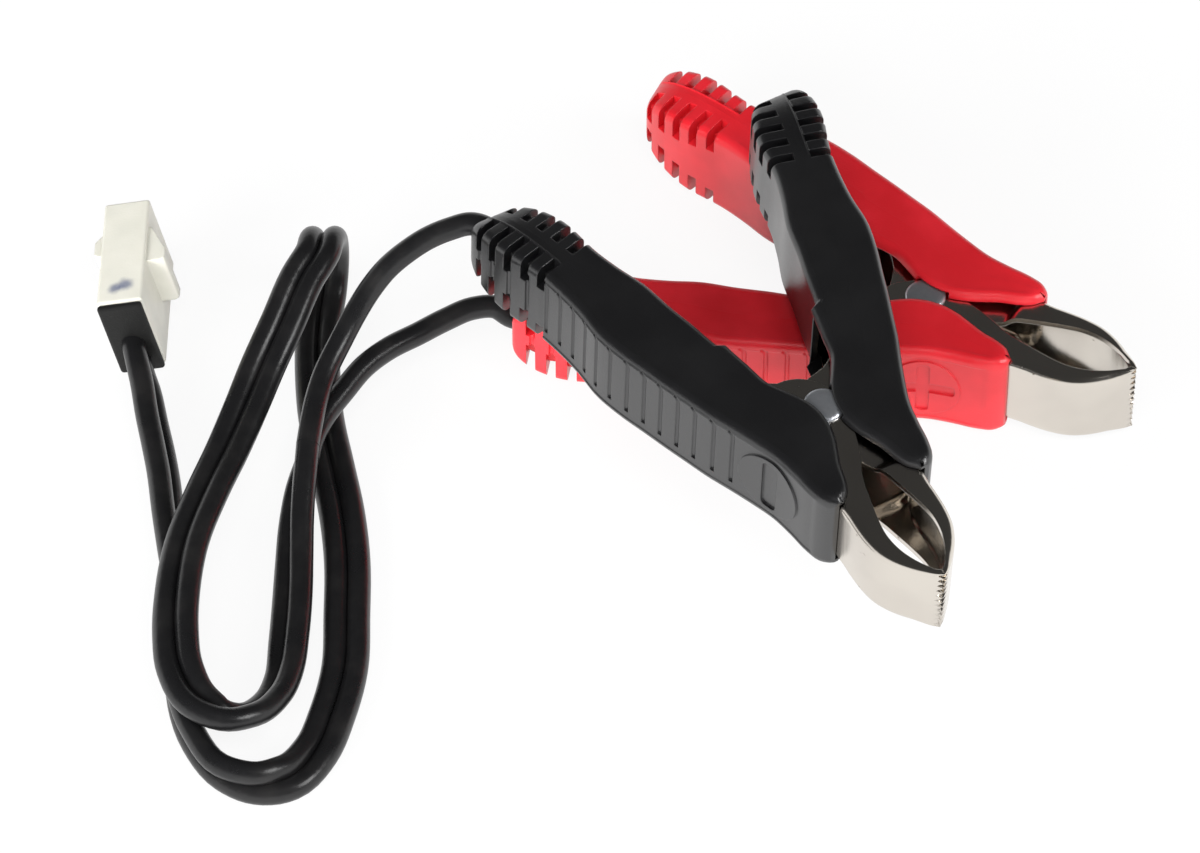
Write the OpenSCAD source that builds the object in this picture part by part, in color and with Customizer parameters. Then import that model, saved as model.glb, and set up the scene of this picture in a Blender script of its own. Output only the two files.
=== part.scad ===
// Battery charger lead: two insulated crocodile clamps on a two-core lead with a
// two-pole connector. Millimetres, +Z up, everything lies on z = 0.
// Each clamp is drawn in its own frame: origin at the jaw tip on the mid plane,
// +X towards the handles, +Y towards the arm that carries the cable.

/* [Clamp] */
// Distance from the jaw tip to the pivot
pivot_reach = 36.4; // [35:0.2:38]
// Width of the stamped steel arms
arm_width = 14; // [13:0.5:16]
// Thickness of the sheet steel
sheet = 1; // [0.8:0.1:1.2]
// Radius of the pivot ears
ear_r = 6.2; // [5.8:0.1:6.4]
// Largest half opening between the closed jaws
jaw_bow = 7.6; // [7:0.1:8.2]
// Width of the side flange along each jaw
flange_w = 3.5; // [2.8:0.1:4]
// Number of saw teeth on each jaw
tooth_count = 11; // [8:1:12]
// Depth of the saw teeth
tooth_depth = 0.7; // [0.4:0.1:0.9]

/* [Pivot] */
// Radius of the rivet shank
rivet_r = 2; // [1.6:0.1:2.4]
// Radius of the rivet heads
rivet_head_r = 3.3; // [3:0.1:3.8]
// Thickness of the rivet heads
rivet_head_t = 0.8; // [0.6:0.1:0.9]
// Wire diameter of the torsion spring
spring_wire = 1.6; // [1.4:0.1:1.8]
// Mean radius of the spring coil
spring_r = 3.9; // [3.7:0.1:4.2]
// Full turns of the spring
spring_turns = 4; // [3:1:4]
// Length of the spring legs
spring_leg = 22; // [16:1:26]

/* [Handle sleeve] */
// Wall thickness of the sleeve
sleeve_wall = 1.4; // [1.2:0.1:1.6]
// Radius of the sleeve's long edges
edge_r = 1.8; // [1:0.1:2.2]
// Distance from the pivot to the end of the handles
handle_reach = 59.6; // [58:0.2:66]
// Width of the strain relief spines
spine_w = 2.8; // [2.4:0.1:3.6]
// Distance between strain relief slots
slot_pitch = 3.4; // [3.2:0.1:3.6]
// Width of the strain relief slots
slot_w = 1.6; // [1.2:0.1:1.8]
// Slots along each edge of the strain relief
slot_count = 5; // [3:1:5]
// Distance between grip grooves
groove_pitch = 3.3; // [3:0.1:3.5]
// Width of the grip grooves
groove_w = 0.6; // [0.4:0.1:0.8]
// Depth of the grip grooves
groove_depth = 0.4; // [0.3:0.1:0.6]
// Number of grip grooves
groove_count = 13; // [8:1:13]

/* [Lead] */
// Diameter of one insulated core
core_d = 3.8; // [3.4:0.1:4]
// Diameter of the bare strands
strand_d = 1.6; // [1.2:0.1:1.8]

/* [Connector] */
// Length of the nylon housing
housing_length = 22; // [20:1:26]
// Thickness of the nylon housing
housing_t = 7.6; // [7:0.1:8.4]
// Width of the nylon housing across its two poles
housing_w = 16; // [15:0.5:18]
// Length of the rubber boot
boot_length = 9; // [8:0.5:12]

/* [Hidden] */
fine = 48;
slip = 0.1;      // sleeve on steel
run = 0.1;       // between the ears, and under the rivet heads
shank_fit = 0.05; // rivet shank in the ears
over = 1;        // cutters reach this far past a face
tiny = 0.01;

// Where the parts stand in the layout, and their turns about X, Y and Z
centre = [-32.77, -5.1, 0]; // puts the origin under the middle of the two clamps
red_tip = [85.4, -1, 8.5];
red_turn = [0, 0, 155.1];
black_tip = [52.5, -55, 22.8];
black_turn = [-0.8, -4, 119.4];
connector_at = [-75.7, 11, 8.66];
connector_turn = [-12, 0, 89];
function turn_x(v, a) = [v.x, v.y * cos(a) - v.z * sin(a), v.y * sin(a) + v.z * cos(a)];
function turn_y(v, a) = [v.x * cos(a) + v.z * sin(a), v.y, v.z * cos(a) - v.x * sin(a)];
function turn_z(v, a) = [v.x * cos(a) - v.y * sin(a), v.x * sin(a) + v.y * cos(a), v.z];
function turned(v, r) = turn_z(turn_y(turn_x(v, r.x), r.y), r.z);
module place(at, turn) {
    translate(centre + at) rotate(turn) children();
}

// Clamp geometry, in the clamp's frame
half_w = arm_width / 2;
jaw_gap = 0.05;          // each jaw stops this far short of the mid plane
bite_x = -0.3;           // where the jaws' cut edges stand
lens_end = 24.9;         // rear corner of the opening between the jaws
lens_half = jaw_bow - flange_w;
handle_end = pivot_reach + handle_reach;
relief_len = slot_count * slot_pitch;
relief_margin = 1;       // solid ring behind the last slot
relief_wall = 1.5;       // solid part in front of the first slot
relief_core = [3.4, 6.2]; // half width and half height left solid by the slots
side_spine = 3.8;        // half height of the spines on the two broad sides
steel_end = handle_end - relief_len - 12;
tongue_len = 8;
tongue_w = 5;
tongue_drop = 0.7;       // the tongue lies this far inside the web's line
joggle = sheet + run;
joggle_front = [lens_end - 3.4, lens_end - 1.8];
joggle_rear = [pivot_reach + 9, pivot_reach + 10.6];
leg_slope = 0.2736;      // rise of the handle's centre line per millimetre
leg_angle = atan(leg_slope);
sleeve_half = half_w + slip + sleeve_wall;
notch_x = pivot_reach + 17.4;
head_seat = 0.15;        // the sleeve clears the rivet heads by this much
squeeze = 36;            // degrees the free arm turns to open the jaws

// Height of the handle's centre line at x, measured across the clamp
function leg_y(x) = 14.5 + leg_slope * (x - pivot_reach - 17.6);

// Catmull-Rom curve through the points p, with n steps to each span
function knot(p, i) = p[min(max(i, 0), len(p) - 1)];
function blend(a, b, c, d, t) = ((-a + 3 * b - 3 * c + d) * t * t * t
    + (2 * a - 5 * b + 4 * c - d) * t * t + (c - a) * t + 2 * b) / 2;
function curve(p, n) = concat(
    [for (i = [0:len(p) - 2], k = [0:n - 1])
        blend(knot(p, i - 1), p[i], p[i + 1], knot(p, i + 2), k / n)],
    [p[len(p) - 1]]);
function unit(v) = v / norm(v);
function flip(p) = [for (i = [len(p) - 1:-1:0]) p[i]];
function shifted(p, dx, dy) = [for (q = p) [q.x + dx, q.y + dy]];
function offset_left(p, d) = [for (i = [0:len(p) - 1])
    let (t = unit(knot(p, i + 1) - knot(p, i - 1))) p[i] + d * [-t.y, t.x]];

// Outer and inner faces of a handle: x from the pivot, distance across the clamp
tail_half = [[-26, 6.4], [-21, 5.7], [-16, 5.1], [-13, 5.45], [-10.5, 5.9], [-8, 6.05],
    [-6, 5.95], [-4, 5.7], [-2.2, 5.2], [-1, 4.7], [0, 3.9]];
tail_outer = [for (q = tail_half)
    [handle_reach + q.x, leg_y(handle_end + q.x) + q.y]];
tail_inner = [for (q = tail_half)
    [handle_reach + q.x, leg_y(handle_end + q.x) - q.y]];
// The grip between the notch and the tail: share of its length, outer and inner half width
grip_start = 18.2;
grip_half = [[0.31, 7.3, 5.9], [0.64, 7.25, 5.9]];
function grip_x(share) = grip_start + share * (handle_reach + tail_half[0].x - grip_start);
grip_outer = [for (g = grip_half) let (x = grip_x(g[0])) [x, leg_y(pivot_reach + x) + g[1]]];
grip_inner = [for (g = grip_half) let (x = grip_x(g[0])) [x, leg_y(pivot_reach + x) - g[2]]];
handle_outer = concat([[-17.8, 8.4], [-17.4, 9], [-16.4, 9.6], [-14, 10.2], [-10, 10.9],
    [-6, 11.9], [-2, 13.5], [2, 15.3], [6, 17.1], [10, 18.6], [14, 20.1], [18, 21.5]],
    grip_outer, tail_outer);
handle_inner = concat([[-17.8, 6.8], [-16.4, 5.3], [-14.4, 4.4], [-11.4, 3.6], [-9, 2.6],
    [-6.4, 1.6], [-3.4, 1], [-0.4, 1.2], [2.1, 2.1], [5.1, 4], [7.6, 5.5], [11.6, 6.4],
    [16.6, 7.5], [17.4, 7.8], [grip_start, 8.8]], grip_inner, tail_inner);
handle_height = [[-17.8, -0.8], [-17.2, -0.3], [-16.2, 0], [handle_reach - 8, 0],
    [handle_reach - 6, -0.1], [handle_reach - 4, -0.4], [handle_reach - 2.2, -1],
    [handle_reach - 1, -1.7], [handle_reach, -2.9]];
front_x = -17.8;
handle_x = concat([front_x, -17.3, -16.4, -14.2, -10, -6.4, -3.4, -0.4, 2.1, 5.1, 7.6, 11.6,
    16.6, 17.4, grip_start], [for (q = grip_outer) q.x], [for (q = tail_outer) q.x]);
function outer_y(x) = lookup(x - pivot_reach, handle_outer);
function inner_y(x) = lookup(x - pivot_reach, handle_inner);
function half_z(x) = sleeve_half + lookup(x - pivot_reach, handle_height);
function steel_y(x) = outer_y(x) - sleeve_wall - slip;

// Outside of the steel arm, from the jaw's cut edge to the end of its tongue
jaw_side = [[bite_x, 0], [0.4, 1.1], [1.6, 2.4], [3.3, 4], [5.4, jaw_bow - 2],
    [8, jaw_bow - 0.7], [11, jaw_bow - 0.1], [14, jaw_bow], [17, 7.5], [19.4, 7.7]];
function leg_side(reach) = [for (x = handle_x) if (x > -15 && pivot_reach + x < reach - tiny)
    [pivot_reach + x, steel_y(pivot_reach + x)]];
function arm_side(reach) = concat(curve(jaw_side, 3), leg_side(reach),
    [[reach, steel_y(reach)]]);
lens_side = curve([[1.4, 0.9], [4, 0.62 * lens_half], [7, 0.9 * lens_half],
    [10.5, lens_half], [14, 0.88 * lens_half], [17.5, 0.68 * lens_half],
    [20.5, 0.5 * lens_half], [22.9, 0.28 * lens_half], [lens_end, jaw_gap],
    [lens_end + 2.4, -0.8], [lens_end + 5.6, -2]], 3);
rear_web = [[6, 0], [6.3, 1.2], [6.9, 2.9], [7.6, 4.7], [8.6, 6.4], [9.8, 7.8]];
flange_edge = concat(lens_side, [for (q = rear_web) [pivot_reach + q.x, q.y]],
    [[notch_x + 0.8, inner_y(notch_x + 0.8) + sleeve_wall + slip],
    [steel_end, inner_y(steel_end) + sleeve_wall + slip]]);
// The ear on the cable's side: two discs, [centre along, centre across, radius]
outer_ear = [[0.5, 4, 6.8], [0, 0, 4]];
inner_ear = [[0, 0, ear_r]];

// Sweeps a closed tube: rings is a list of rings of points
module tube(rings) {
    n = len(rings[0]);
    last = len(rings) - 1;
    polyhedron(
        points = [for (r = rings) for (p = r) p],
        faces = concat(
            [[for (k = [0:n - 1]) k]],
            [for (i = [0:last - 1], k = [0:n - 1]) let (j = (k + 1) % n)
                [i * n + k, (i + 1) * n + k, (i + 1) * n + j]],
            [for (i = [0:last - 1], k = [0:n - 1]) let (j = (k + 1) % n)
                [i * n + k, (i + 1) * n + j, i * n + j]],
            [[for (k = [n - 1:-1:0]) last * n + k]]));
}

// Ring of a handle at x: a rounded rectangle across the arm, drawn in by inset
corner_steps = 3;
function rounded_ring(x, y0, y1, hz, r) = [for (c = [0:3], k = [0:corner_steps])
    let (a = c * 90 + k * 90 / corner_steps,
        cy = (c == 0 || c == 3) ? y1 - r : y0 + r,
        cz = c < 2 ? hz - r : r - hz)
    [x, cy + r * cos(a), cz + r * sin(a)]];
cavity_r = 0.25;         // corner radius inside the handle
function handle_ring(x, inset) =
    let (y0 = inner_y(x) + inset, y1 = outer_y(x) - inset, hz = half_z(x) - inset,
        r = min(inset > 0 ? cavity_r : edge_r, (y1 - y0) / 2 - tiny))
    rounded_ring(x, y0, y1, hz, r);

// A body of the handle's shape between two places, drawn in by inset
module handle_body(from, to, inset) {
    xs = concat([from], [for (x = handle_x)
        if (pivot_reach + x > from + 0.2 && pivot_reach + x < to - 0.2) pivot_reach + x], [to]);
    tube([for (x = xs) handle_ring(x, inset)]);
}

// Room in the sleeve for the steel: open to the inside as far as the notch
module open_channel() {
    side = [for (q = arm_side(notch_x)) if (q.x > front_x + pivot_reach - 8 && q.x < notch_x)
        q + [0, slip]];
    floor_y = -ear_r - over;
    linear_extrude(height = arm_width + 2 * slip, center = true)
        polygon(concat([[side[0].x, floor_y]], side,
            [[notch_x, steel_y(notch_x) + slip], [notch_x, floor_y]]));
}

// Slots of the strain relief: blind cuts round its four corners, from spine to spine
far = 2 * sleeve_half;
slot_outline = [[spine_w / 2, relief_core.y], [spine_w / 2, far], [far, far],
    [far, side_spine], [relief_core.x, side_spine], relief_core];
module relief_slots() {
    translate([handle_end, leg_y(handle_end), 0]) rotate([0, 0, leg_angle])
        for (k = [0:slot_count - 1], sy = [0, 1], sz = [0, 1])
            translate([-relief_margin - slot_w - k * slot_pitch, 0, 0])
                mirror([0, sy, 0]) mirror([0, 0, sz]) rotate([90, 0, 90])
                    linear_extrude(height = slot_w) polygon(slot_outline);
}
// Round hole for the core, from the end of the handle into its cavity
module core_hole() {
    translate([handle_end, leg_y(handle_end), 0]) rotate([0, 0, leg_angle])
        translate([over, 0, 0]) rotate([0, -90, 0])
            cylinder(r = core_d / 2 + slip, h = (relief_len + relief_wall) / cos(leg_angle)
                + 2 * over, $fn = fine);
}

// Grip grooves across the outer face, each with a short hook at its upper end
groove_z = [-5.3, 6.4];
groove_margin = 1.1;     // from the first slot's plane to the first groove
hook_len = 1;
module grip_grooves() {
    for (k = [0:groove_count - 1]) {
        x = handle_end - relief_len - groove_margin - k * groove_pitch;
        face = atan((outer_y(x + over) - outer_y(x - over)) / (2 * over));
        translate([x, outer_y(x), 0]) rotate([0, 0, face]) {
            translate([-groove_w / 2, -groove_depth, groove_z[0]])
                cube([groove_w, 3, groove_z[1] - groove_z[0]]);
            translate([-groove_w / 2, -groove_depth, groove_z[1] - groove_w])
                cube([groove_w + hook_len, 3, groove_w]);
        }
    }
}

module sleeve_solid() {
    difference() {
        handle_body(pivot_reach + front_x, handle_end, 0);
        open_channel();
        handle_body(notch_x - tiny, handle_end - relief_len - relief_wall, sleeve_wall);
        core_hole();
        relief_slots();
        grip_grooves();
        // seats for the rivet heads inside the two side walls
        translate([pivot_reach, 0, 0])
            cylinder(r = rivet_head_r + 3 * head_seat, h = 2 * (half_w + rivet_head_t + head_seat),
                center = true, $fn = fine);
    }
}

// Side plate profile: straight on the cable arm, joggled inwards on the free arm
function plate_line(drop) = [[bite_x - over, 0], [joggle_front[0], 0],
    [joggle_front[1], -drop], [joggle_rear[0], -drop], [joggle_rear[1], 0],
    [steel_end, 0]];
module side_plate(drop) {
    top = shifted(plate_line(drop), 0, half_w);
    rotate([90, 0, 0]) linear_extrude(height = 80, center = true)
        polygon(concat(top, flip(shifted(top, 0, -sheet))));
}
module flange_outline(ear) {
    difference() {
        union() {
            polygon(concat(arm_side(steel_end), flip(flange_edge)));
            for (e = ear) translate([pivot_reach + e[0], e[1]]) circle(r = e[2], $fn = fine);
        }
        translate([bite_x - over, jaw_gap - 2 * ear_r])
            square([lens_end - bite_x + over, 2 * ear_r]);
    }
}
module web_outline(reach) {
    side = arm_side(reach);
    intersection() {
        polygon(concat(side, flip(offset_left(side, -sheet))));
        translate([bite_x - over, jaw_gap]) square([reach + 2 * over, 60]);
    }
}

// A stamped arm: web, two side plates with ears, saw teeth and, on the arm that
// carries the cable, a tongue for the crimp
module steel_arm(drop, tongue, ear) {
    pitch = arm_width / tooth_count;
    difference() {
        union() {
            linear_extrude(height = arm_width, center = true) web_outline(steel_end);
            if (tongue) translate([0, -tongue_drop, 0]) intersection() {
                linear_extrude(height = tongue_w, center = true)
                    web_outline(steel_end + tongue_len);
                translate([steel_end - 2 * over, 0, -half_w])
                    cube([tongue_len + 3 * over, 60, arm_width]);
            }
            for (s = [0, 1]) mirror([0, 0, s]) intersection() {
                linear_extrude(height = arm_width, center = true) flange_outline(ear);
                side_plate(drop);
            }
        }
        translate([pivot_reach, 0, 0])
            cylinder(r = rivet_r + shank_fit, h = 2 * arm_width, center = true, $fn = fine);
        for (k = [0:tooth_count - 1])
            translate([bite_x, 0, -half_w + (k + 0.5) * pitch]) rotate([-90, 0, 0])
                linear_extrude(height = 8, center = true)
                    polygon([[-over, -pitch / 2 - over * pitch / (2 * tooth_depth)],
                        [tooth_depth, 0], [-over, pitch / 2 + over * pitch / (2 * tooth_depth)]]);
    }
}
module cable_jaw() {
    color("silver") steel_arm(0, true, outer_ear);
}
module free_jaw() {
    color("silver") mirror([0, 1, 0]) steel_arm(joggle, false, inner_ear);
}
module cable_sleeve(tint) {
    color(tint) sleeve_solid();
}
module free_sleeve(tint) {
    color(tint) mirror([0, 1, 0]) sleeve_solid();
}

// Rivet: one turned profile, its heads bearing on the outer ears
module pivot_rivet() {
    top = half_w + rivet_head_t;
    rim = 0.3;
    color("lightgrey") translate([pivot_reach, 0, 0]) rotate_extrude($fn = fine)
        polygon([[0, -top], [rivet_head_r - rim, -top], [rivet_head_r, rim - top],
            [rivet_head_r, -half_w], [rivet_r, -half_w], [rivet_r, half_w],
            [rivet_head_r, half_w], [rivet_head_r, top - rim], [rivet_head_r - rim, top],
            [0, top]]);
}

// Rings of a round tube along path; from and to set the directions of its two ends
function way(path, i, from, to) = i == 0 ? from : i == len(path) - 1 ? to
    : unit(unit(path[i + 1] - path[i]) + unit(path[i] - path[i - 1]));
function side_of(t) = unit(cross(t, [0, 0, 1]));
function round_rings(path, r, sides, from, to) = [for (i = [0:len(path) - 1])
    let (t = way(path, i, from, to), u = side_of(t), v = cross(t, u))
    [for (k = [0:sides - 1]) path[i] + r * (u * cos(k * 360 / sides) + v * sin(k * 360 / sides))]];

// Torsion spring: leg, coil and leg as one wire; the legs press on the two webs
coil_pitch = spring_wire + 0.5;
curl_steps = 8;
wire_sides = 6;
function leg_top(a) = spring_r * cos(a) + spring_leg * sin(a);
function leg_far(a) = pivot_reach + spring_leg * cos(a) - spring_r * sin(a);
function leg_rise(a) = leg_top(a) > steel_y(leg_far(a)) - sheet - spring_wire / 2 - run
    ? a - 0.25 : leg_rise(a + 0.25);
spring_open = leg_rise(20);
coil_from = 90 + spring_open;
coil_to = 360 * spring_turns - coil_from;
coil_angles = concat([for (a = [coil_from:360 / curl_steps:coil_to - 10]) a], [coil_to]);
coil_span = coil_pitch * (coil_to - coil_from) / 360;
function coil_point(a) = [pivot_reach + spring_r * cos(a), spring_r * sin(a),
    coil_span * ((a - coil_from) / (coil_to - coil_from) - 0.5)];
leg_way = [cos(spring_open), sin(spring_open), 0];
spring_path = concat([coil_point(coil_from) + spring_leg * leg_way],
    [for (a = coil_angles) coil_point(a)],
    [coil_point(coil_to) + spring_leg * [leg_way.x, -leg_way.y, 0]]);
module spring() {
    slant = atan(coil_pitch / (360 * spring_r * PI / 180));
    echo(spring_gap = coil_pitch * cos(slant) - spring_wire);
    color("silver") tube(round_rings(spring_path, spring_wire / 2, wire_sides,
        -leg_way, [leg_way.x, -leg_way.y, 0]));
}

// Crimp: a band closed over the tongue and the bare strands
crimp_wall = 0.5;
crimp_len = 4;
crimp_x = steel_end + 3.2;
web_angle = atan((outer_y(crimp_x + crimp_len) - outer_y(crimp_x)) / crimp_len);
module crimp() {
    room = [crimp_len, sheet + strand_d + slip, tongue_w + slip];
    grow = [0, 2 * crimp_wall, 2 * crimp_wall];
    color("silver") translate([crimp_x, steel_y(crimp_x) - tongue_drop - room.y / 2, 0])
        rotate([0, 0, web_angle]) translate([crimp_len / 2, slip / 2, 0]) difference() {
            cube(room + grow, center = true);
            cube(room + [over, 0, 0], center = true);
        }
}

// Core inside the handle: insulation from the rear hole, strands on to the crimp
core_stop = handle_end - relief_len - 0.5;
function strand_y(x) = steel_y(x) - tongue_drop - sheet - strand_d / 2 - slip / 2;
strand_path = [[crimp_x - over, strand_y(crimp_x - over), 0],
    [crimp_x + crimp_len, strand_y(crimp_x + crimp_len), 0],
    [core_stop - 1.6, leg_y(core_stop - 1.6) + 0.3, 0], [core_stop + over, leg_y(core_stop + over), 0]];
leg_dir = [cos(leg_angle), sin(leg_angle), 0];
module core_end() {
    color("dimgray") union() {
        translate([core_stop, leg_y(core_stop), 0]) rotate([0, 0, leg_angle]) rotate([0, 90, 0])
            cylinder(d = core_d, h = (handle_end - core_stop) / cos(leg_angle), $fn = fine);
        tube(round_rings(strand_path, strand_d / 2, 8,
            unit(strand_path[1] - strand_path[0]), leg_dir));
    }
}

// Route of the flat lead: position, then the roll of its width from level.
// It leaves the boot on edge, lies down round the outer loop, folds back over
// itself and comes round the inner loop on top.
lobe = 1.8;              // half the distance between the two cores' centres
function at_connector(p) = connector_at + turned(p, connector_turn);
outlet = [4, 0, -2.7];   // where the lead starts inside the boot
flat_outer = [[-74.5, 8, 5.6, 95], [-73.5, 4, 4.8, 75], [-72, -2, 3.6, 45],
    [-70.5, -8, 2.6, 15], [-69.5, -14, 2.1, 0], [-68.5, -22, 2, 0], [-67.5, -30, 2, 0],
    [-66.8, -38, 2, 0], [-66, -48, 2, 0], [-64, -58, 2, 0], [-61, -67, 2, 0],
    [-57, -72.5, 2, 0], [-53, -74.5, 2, 0], [-48, -73.5, 2, 0], [-44, -68.5, 2, 0],
    [-41.5, -61, 2, 0], [-39.5, -52, 2, 0], [-39.4, -41, 2, 0], [-39.5, -30, 2, 0],
    [-40.8, -20, 2, 0], [-42.8, -10, 2, 0], [-44.8, 0, 2, 0], [-45.4, 9, 2, 0],
    [-45.4, 17, 2, 0]];
fold_centre = [-45, 22.5, 9.5];
fold_r = 7.5;
fold_bulge = 1;          // the middle of the fold stands this far to the right
flat_inner = [[-47.5, 17.5, 16.4, 0], [-50.5, 10, 14, 0], [-53.5, 3, 11.5, 0],
    [-56, -4, 9.6, 0], [-59, -12, 8.1, 0], [-62, -20, 7.1, 0], [-65, -30, 6.5, 0], [-66, -39, 6.2, 0],
    [-66, -48, 6.2, 0], [-65, -55, 6.2, 0], [-62, -61, 6, 0], [-58, -63.5, 6.2, -10],
    [-54, -63, 5.4, -20], [-51, -60, 4.2, -30], [-49, -54, 3.5, -45], [-48.5, -47, 3.4, -45],
    [-48.5, -39, 3.4, -45], [-48, -31, 3.8, -45], [-47.5, -24, 5.4, -45], [-47, -18, 7, -45],
    [-46, -12, 7.8, -45]];
flat_start = [for (x = [outlet.x, outlet.x - 3]) let (p = at_connector([x, 0, outlet.z]))
    [p.x, p.y, p.z, 90 - connector_turn.x]];
fold = [for (a = [-90:30:90]) [fold_centre.x + fold_bulge * cos(a),
    fold_centre.y + fold_r * cos(a), fold_centre.z + fold_r * sin(a), 0]];
flat_rows = concat(flat_start, flat_outer, fold, flat_inner);
flat_path = [for (q = flat_rows) [q[0], q[1], q[2]]];
fold_from = len(flat_start) + len(flat_outer);
fold_to = fold_from + len(fold);
flat_from = turned([-1, 0, 0], connector_turn);
flat_to = unit(flat_path[len(flat_path) - 1] - flat_path[len(flat_path) - 2]);
function level_side(t, i) = i >= fold_from && i < fold_to ? [-1, 0, 0]
    : (i < fold_from ? 1 : -1) * unit([-t.y, t.x, 0]);
function flat_width(t, i) = let (a = flat_rows[i][3],
    w = cos(a) * level_side(t, i) + [0, 0, sin(a)]) unit(w - t * (t * w));
// Outline of the flat lead: two round lobes joined by a web, 12 points
lobe_angles = [-72, -36, 0, 36, 72];
waist = 0.6;
flat_section = concat([for (a = lobe_angles) [lobe + core_d / 2 * cos(a), core_d / 2 * sin(a)]],
    [[0, waist]], [for (a = lobe_angles) [-lobe - core_d / 2 * cos(a), -core_d / 2 * sin(a)]],
    [[0, -waist]]);
module flat_lead() {
    color("dimgray") translate(centre) tube([for (i = [0:len(flat_path) - 1])
        let (t = way(flat_path, i, flat_from, flat_to), w = flat_width(t, i), n = cross(t, w))
        [for (q = flat_section) flat_path[i] + q.x * w + q.y * n]]);
}

// Routes of the two single cores from the split to the handles
split = flat_path[len(flat_path) - 1];
split_side = flat_width(flat_to, len(flat_path) - 1);
split_half = core_d / 2 + 0.05;
function behind(at, turn, d) = at + turned([handle_end + d * cos(leg_angle),
    leg_y(handle_end) + d * sin(leg_angle), 0], turn);
black_route = concat([split - split_half * split_side],
    [[-46.5, -8, 9.8], [-45, -3.5, 10.5], [-43, 1.5, 11.4], [-41, 6.2, 12.8],
    [-38.9, 10, 15.1], [-36.6, 12.6, 18], [-34, 14.6, 20.8], [-31, 16.2, 23.1],
    [-27.5, 17.4, 25.3], [-24, 17.9, 27.1], [-20.6, 17.9, 28.6]],
    [behind(black_tip, black_turn, 1), behind(black_tip, black_turn, 0)]);
red_route = concat([split + split_half * split_side],
    [[-43.7, -8, 7.1], [-42.2, -3, 7.3], [-40.4, 1, 7.6], [-37.4, 5.2, 8],
    [-33.6, 9.2, 8.4], [-29.5, 12.2, 9], [-25, 14.8, 9.6], [-20.6, 16.8, 10.1],
    [-17, 17.2, 9.7]],
    [behind(red_tip, red_turn, 1.5), behind(red_tip, red_turn, 0)]);
module single_lead(route, turn) {
    color("dimgray") translate(centre) tube(round_rings(route, core_d / 2, 10, flat_to,
        turned(-leg_dir, turn)));
}

// Connector, in its own frame: origin in the middle of the boot's rear face,
// +X towards the mouth, +Z across the two poles
flange_t = 1.2;          // part of the boot behind the housing
pole_pitch = 7;
socket = 5.2;            // square opening of each pole
pocket = [boot_length - flange_t, housing_t - 1.6, housing_w - 3.2];
mouth_x = flange_t + housing_length;
latch = [9, 3, 10];      // latch ramp: length, height, width across the poles
latch_x = mouth_x - 13;
nub = [4.5, 1.2, 3];
module connector_housing() {
    color("ivory") difference() {
        union() {
            translate([flange_t, -housing_t / 2, -housing_w / 2])
                cube([housing_length, housing_t, housing_w]);
            // latch ramp on one wide side, a small rib on the other
            translate([latch_x, -housing_t / 2, housing_w / 2 - 0.8 - latch.z])
                linear_extrude(height = latch.z)
                    polygon([[0, 0], [0, -latch.y], [2.2, -latch.y], [latch.x, -0.6], [latch.x, 0]]);
            translate([mouth_x - 11, housing_t / 2, housing_w / 2 - 0.6 - nub.z])
                linear_extrude(height = nub.z)
                    polygon([[0, 0], [0.6, nub.y], [nub.x - 1.4, nub.y], [nub.x, 0]]);
        }
        for (s = [-1, 1]) translate([pocket.x, -socket / 2, s * pole_pitch / 2 - socket / 2])
            cube([housing_length, socket, socket]);
        translate([flange_t - over, -pocket.y / 2, -pocket.z / 2])
            cube([pocket.x + over, pocket.y, pocket.z]);
    }
}
arch_w = 5;              // outlet of the lead, open downwards
arch_top = 1.7;
slot_fit = 0.3;
module connector_boot() {
    color("dimgray") difference() {
        union() {
            translate([0, -housing_t / 2 + 0.1, -housing_w / 2 + 0.1])
                cube([flange_t, housing_t - 0.2, housing_w - 0.2]);
            translate([flange_t - tiny, -pocket.y / 2 + run / 2, -pocket.z / 2 + run / 2])
                cube([pocket.x + tiny, pocket.y - run, pocket.z - run]);
        }
        translate([-over, 0, arch_top - arch_w / 2]) rotate([0, 90, 0])
            cylinder(d = arch_w, h = flange_t + over, $fn = fine);
        translate([-over, -arch_w / 2, -housing_w])
            cube([flange_t + over, arch_w, housing_w + arch_top - arch_w / 2]);
        translate([-over, -core_d / 2 - slot_fit, -housing_w / 2 + 1.6])
            cube([outlet.x + over, core_d + 2 * slot_fit, housing_w / 2 - 1.6 + arch_top]);
    }
}
contact_wall = 0.4;
contact_x = boot_length + 0.3;
contact_len = 7;
module contact() {
    side = socket - run;
    difference() {
        union() {
            translate([contact_x + 2.4, -side / 2, -side / 2]) cube([contact_len - 2.4, side, side]);
            translate([boot_length, 0, 0]) rotate([0, 90, 0]) cylinder(r = 1.7, h = 3, $fn = fine);
        }
        translate([contact_x + 3, contact_wall - side / 2, contact_wall - side / 2])
            cube([contact_len, side - 2 * contact_wall, side - 2 * contact_wall]);
    }
}
module contact_at(s) {
    color("silver") translate([0, 0, s * pole_pitch / 2]) contact();
}

red_tint = "firebrick";
black_tint = "#303030";
place(red_tip, red_turn) cable_jaw();  // red_cable_jaw
place(red_tip, red_turn) free_jaw();  // red_free_jaw
place(red_tip, red_turn) cable_sleeve(red_tint);  // red_cable_sleeve
place(red_tip, red_turn) free_sleeve(red_tint);  // red_free_sleeve
place(red_tip, red_turn) pivot_rivet();  // red_pivot_rivet
place(red_tip, red_turn) spring();  // red_spring
place(red_tip, red_turn) crimp();  // red_crimp
place(red_tip, red_turn) core_end();  // red_core_end
place(black_tip, black_turn) cable_jaw();  // black_cable_jaw
place(black_tip, black_turn) free_jaw();  // black_free_jaw
place(black_tip, black_turn) cable_sleeve(black_tint);  // black_cable_sleeve
place(black_tip, black_turn) free_sleeve(black_tint);  // black_free_sleeve
place(black_tip, black_turn) pivot_rivet();  // black_pivot_rivet
place(black_tip, black_turn) spring();  // black_spring
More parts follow.
